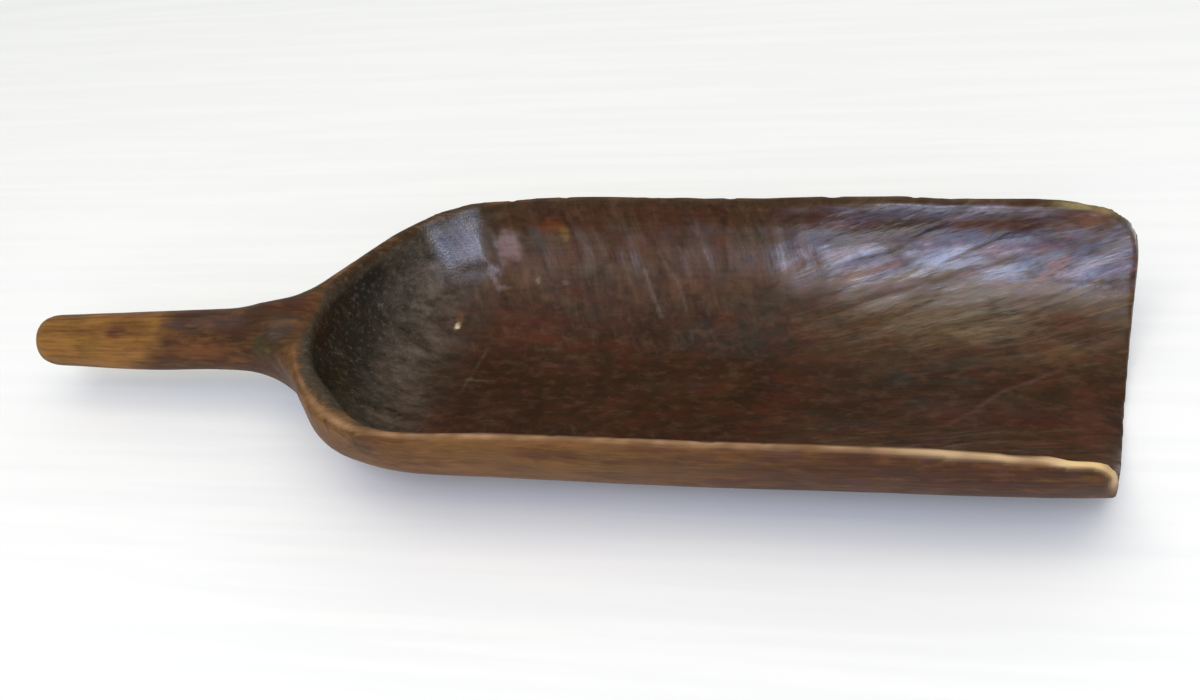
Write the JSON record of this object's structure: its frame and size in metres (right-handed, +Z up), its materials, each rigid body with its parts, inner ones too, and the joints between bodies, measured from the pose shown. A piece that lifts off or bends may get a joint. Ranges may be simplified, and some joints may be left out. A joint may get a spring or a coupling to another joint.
{
  "type": "flour scoop",
  "caption": "Hand-carved wooden scoop: a half-round trough, open above and at the mouth, with a rounded closed end that flares into a straight round handle.",
  "frame": {"origin": "on the table, under the middle of the scoop", "axes": "+X along the scoop towards the mouth, +Y across, +Z up"},
  "size_m": [0.4762, 0.156, 0.0544],
  "materials": {
    "dark_wood": "worn and oiled by use, half gloss"
  },
  "bodies": {
    "root": {"scoop": "dark_wood"}
  },
  "joints": []
}
